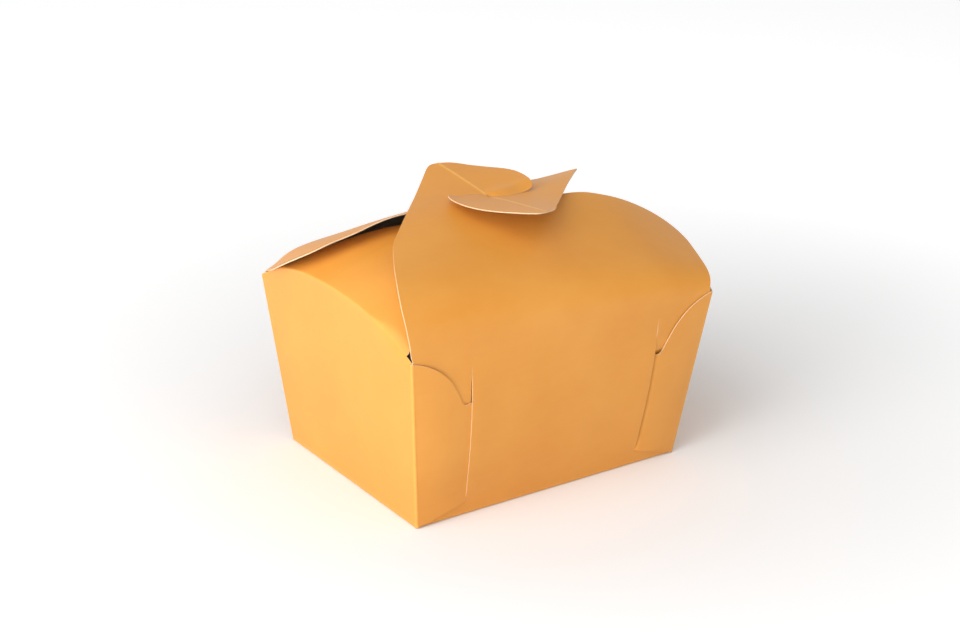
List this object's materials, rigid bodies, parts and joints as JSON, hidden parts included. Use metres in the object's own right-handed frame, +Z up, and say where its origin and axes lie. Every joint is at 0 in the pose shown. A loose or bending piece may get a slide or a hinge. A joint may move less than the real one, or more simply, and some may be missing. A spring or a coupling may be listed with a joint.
{
  "type": "paper pastry basket",
  "caption": "Folded paperboard pastry basket with flared walls, arched ends, tucked corner flaps and closing flaps whose hooked tongues interlock on top.",
  "frame": {"origin": "middle of the base's underside", "axes": "+X along the long front, front wall towards -Y, +Z up"},
  "size_m": [0.1526, 0.108, 0.1093],
  "materials": {
    "board": "satin coated orange outside"
  },
  "bodies": {
    "root": {"pastry_basket": "board"}
  },
  "joints": []
}
